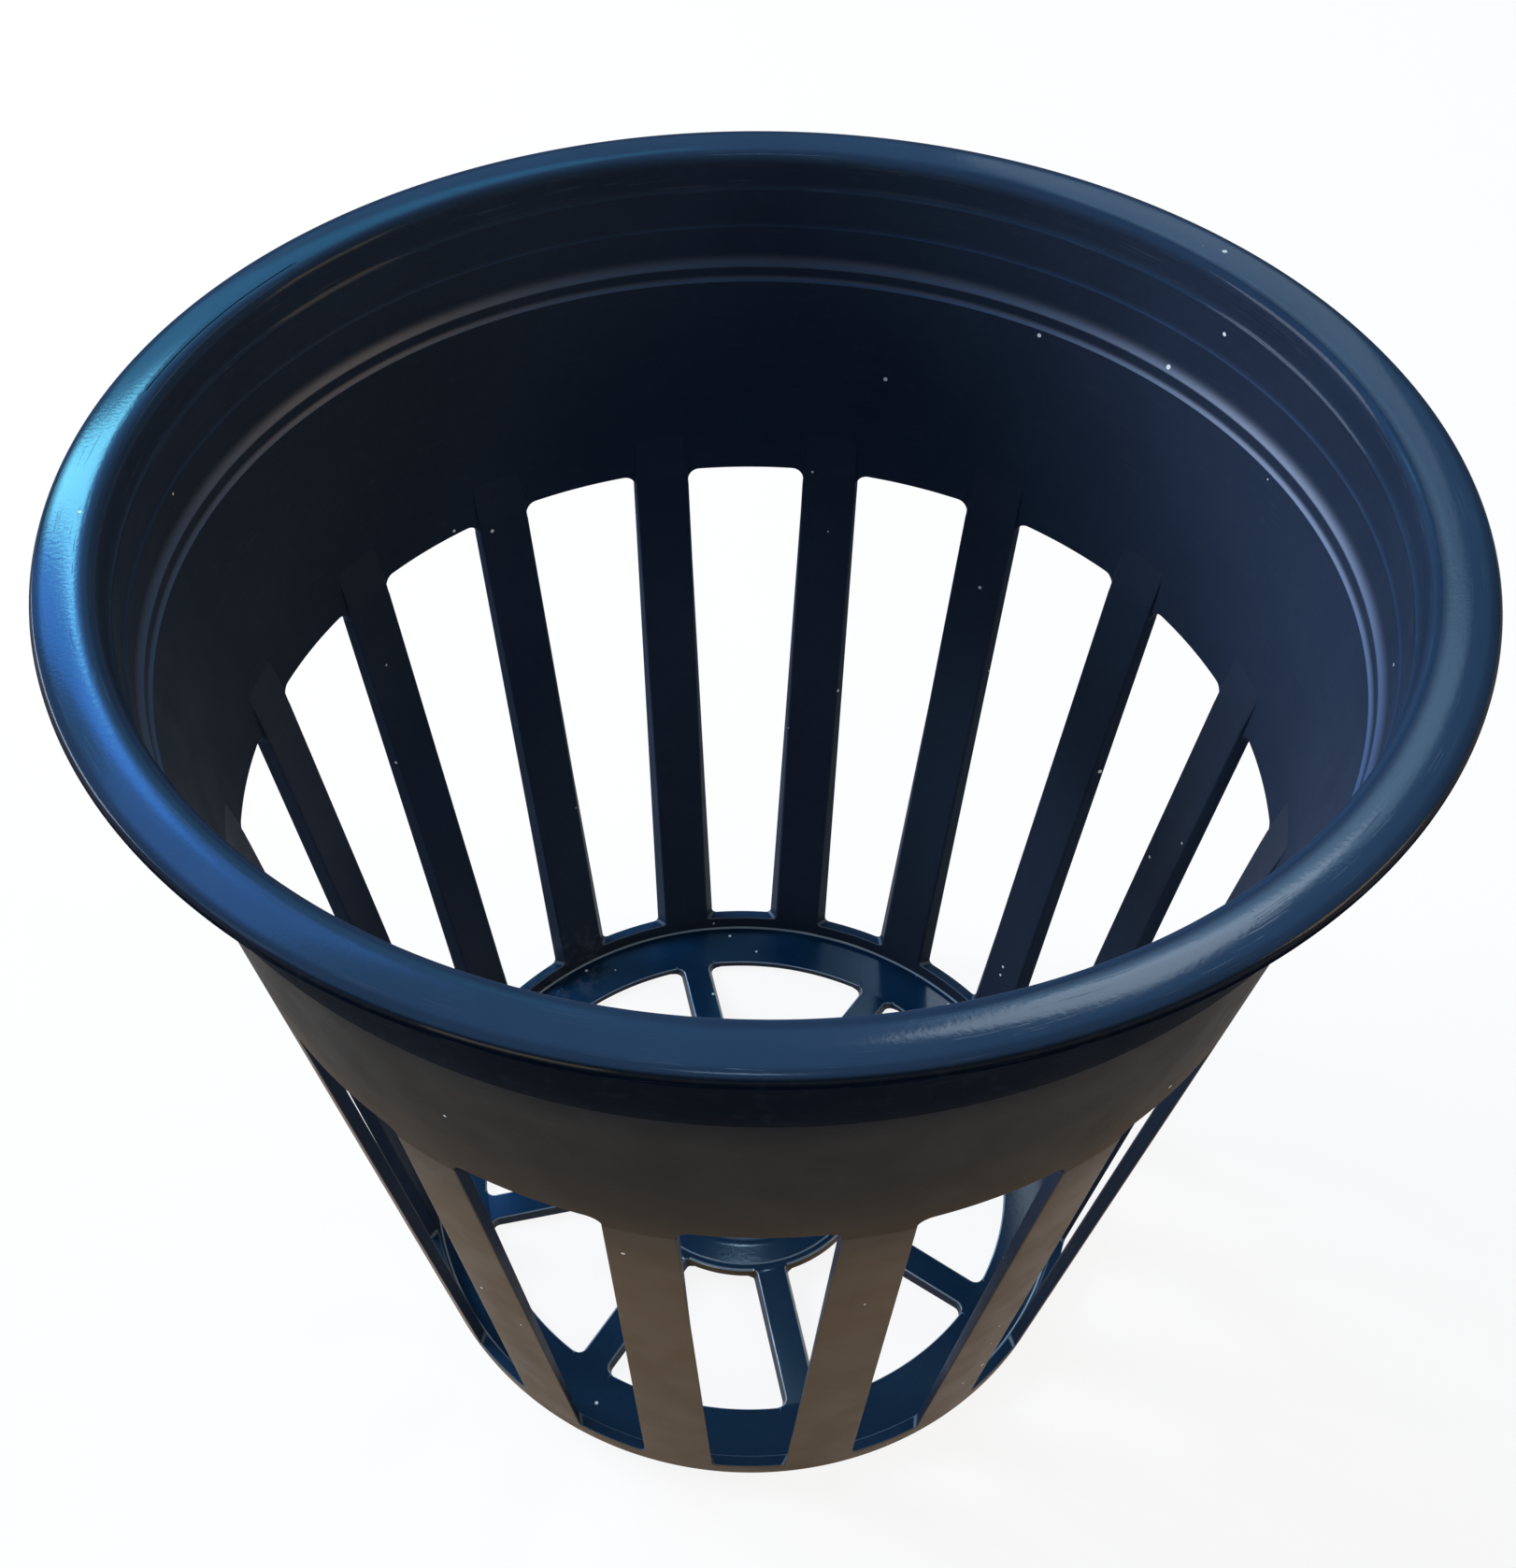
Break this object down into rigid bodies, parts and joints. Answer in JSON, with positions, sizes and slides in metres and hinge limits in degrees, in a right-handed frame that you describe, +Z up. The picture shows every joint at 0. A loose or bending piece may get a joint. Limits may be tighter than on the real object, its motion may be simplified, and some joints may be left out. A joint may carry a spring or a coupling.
{
  "type": "net pot",
  "caption": "Round tapered hydroponic net pot with a wide flat rim, a stepped collar, tall slots between ribs, and an open spoked floor; stands on its base or hangs by its rim.",
  "frame": {"origin": "middle of the base, on the surface that the pot stands on", "axes": "+Z up along the pot's axis; a wall slot is centred on +Y"},
  "size_m": [0.14, 0.14, 0.122],
  "materials": {
    "rim_plastic": "satin black, smooth, with fine scratches",
    "wall_plastic": "satin black with a fine moulded texture",
    "rib_plastic": "satin black, slightly dusty",
    "floor_plastic": "satin black, scuffed and dusty"
  },
  "bodies": {
    "root": {"rim_flange": "rim_plastic", "collar_ring_upper": "wall_plastic", "collar_ring_lower": "wall_plastic", "wall_band": "wall_plastic", "base_hoop": "wall_plastic", "floor_ring": "floor_plastic", "hub_disc": "floor_plastic", "rib_01": "rib_plastic", "rib_02": "rib_plastic", "rib_03": "rib_plastic", "rib_04": "rib_plastic", "rib_05": "rib_plastic", "rib_06": "rib_plastic", "rib_07": "rib_plastic", "rib_08": "rib_plastic", "rib_09": "rib_plastic", "rib_10": "rib_plastic", "rib_11": "rib_plastic", "rib_12": "rib_plastic", "rib_13": "rib_plastic", "rib_14": "rib_plastic", "rib_15": "rib_plastic", "rib_16": "rib_plastic", "spoke_01": "floor_plastic", "spoke_02": "floor_plastic", "spoke_03": "floor_plastic", "spoke_04": "floor_plastic", "spoke_05": "floor_plastic", "spoke_06": "floor_plastic", "spoke_07": "floor_plastic", "spoke_08": "floor_plastic"}
  },
  "joints": []
}
